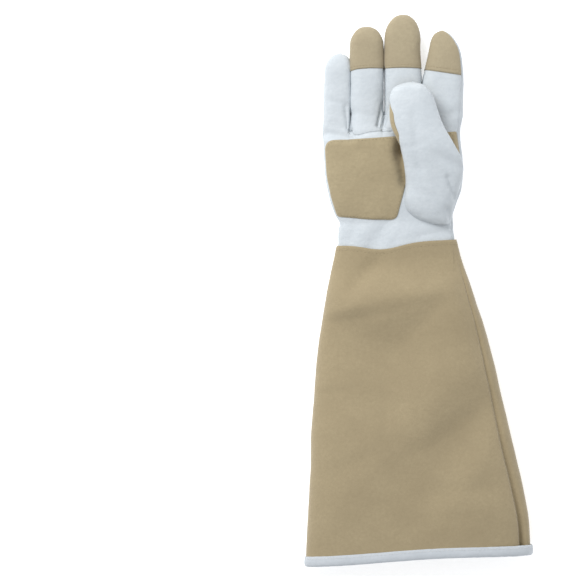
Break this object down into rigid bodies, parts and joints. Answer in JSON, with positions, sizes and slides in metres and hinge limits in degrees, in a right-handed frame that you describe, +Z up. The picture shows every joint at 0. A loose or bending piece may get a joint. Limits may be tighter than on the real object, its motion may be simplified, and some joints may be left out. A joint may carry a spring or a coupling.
{
  "type": "rose pruning gauntlet",
  "caption": "Long leather pruning gauntlet for one hand: pale hand with tan palm patch and fingertips, folded thumb, flared tan forearm cuff with pale binding.",
  "frame": {"origin": "middle of the floor rectangle that the gauntlet covers, at the surface it lies on", "axes": "+X towards the index finger's side, +Y from the hem towards the fingertips, +Z up, out of the palm"},
  "size_m": [0.1856, 0.45, 0.0447],
  "materials": {
    "white_leather": "smooth pale grey-white grain leather",
    "tan_leather": "matte tan split leather with a short nap",
    "white_binding": "smooth white folded binding"
  },
  "bodies": {
    "root": {"back_panel": "white_leather", "palm_panel": "white_leather", "finger_front": "white_leather", "little_ring_side_strip": "white_leather", "ring_middle_side_strip": "white_leather", "middle_index_side_strip": "white_leather", "ring_tip": "tan_leather", "middle_tip": "tan_leather", "index_tip": "tan_leather", "palm_patch": "tan_leather", "thumb": "white_leather", "thumb_patch": "tan_leather", "cuff": "tan_leather", "hem_binding": "white_binding"}
  },
  "joints": []
}
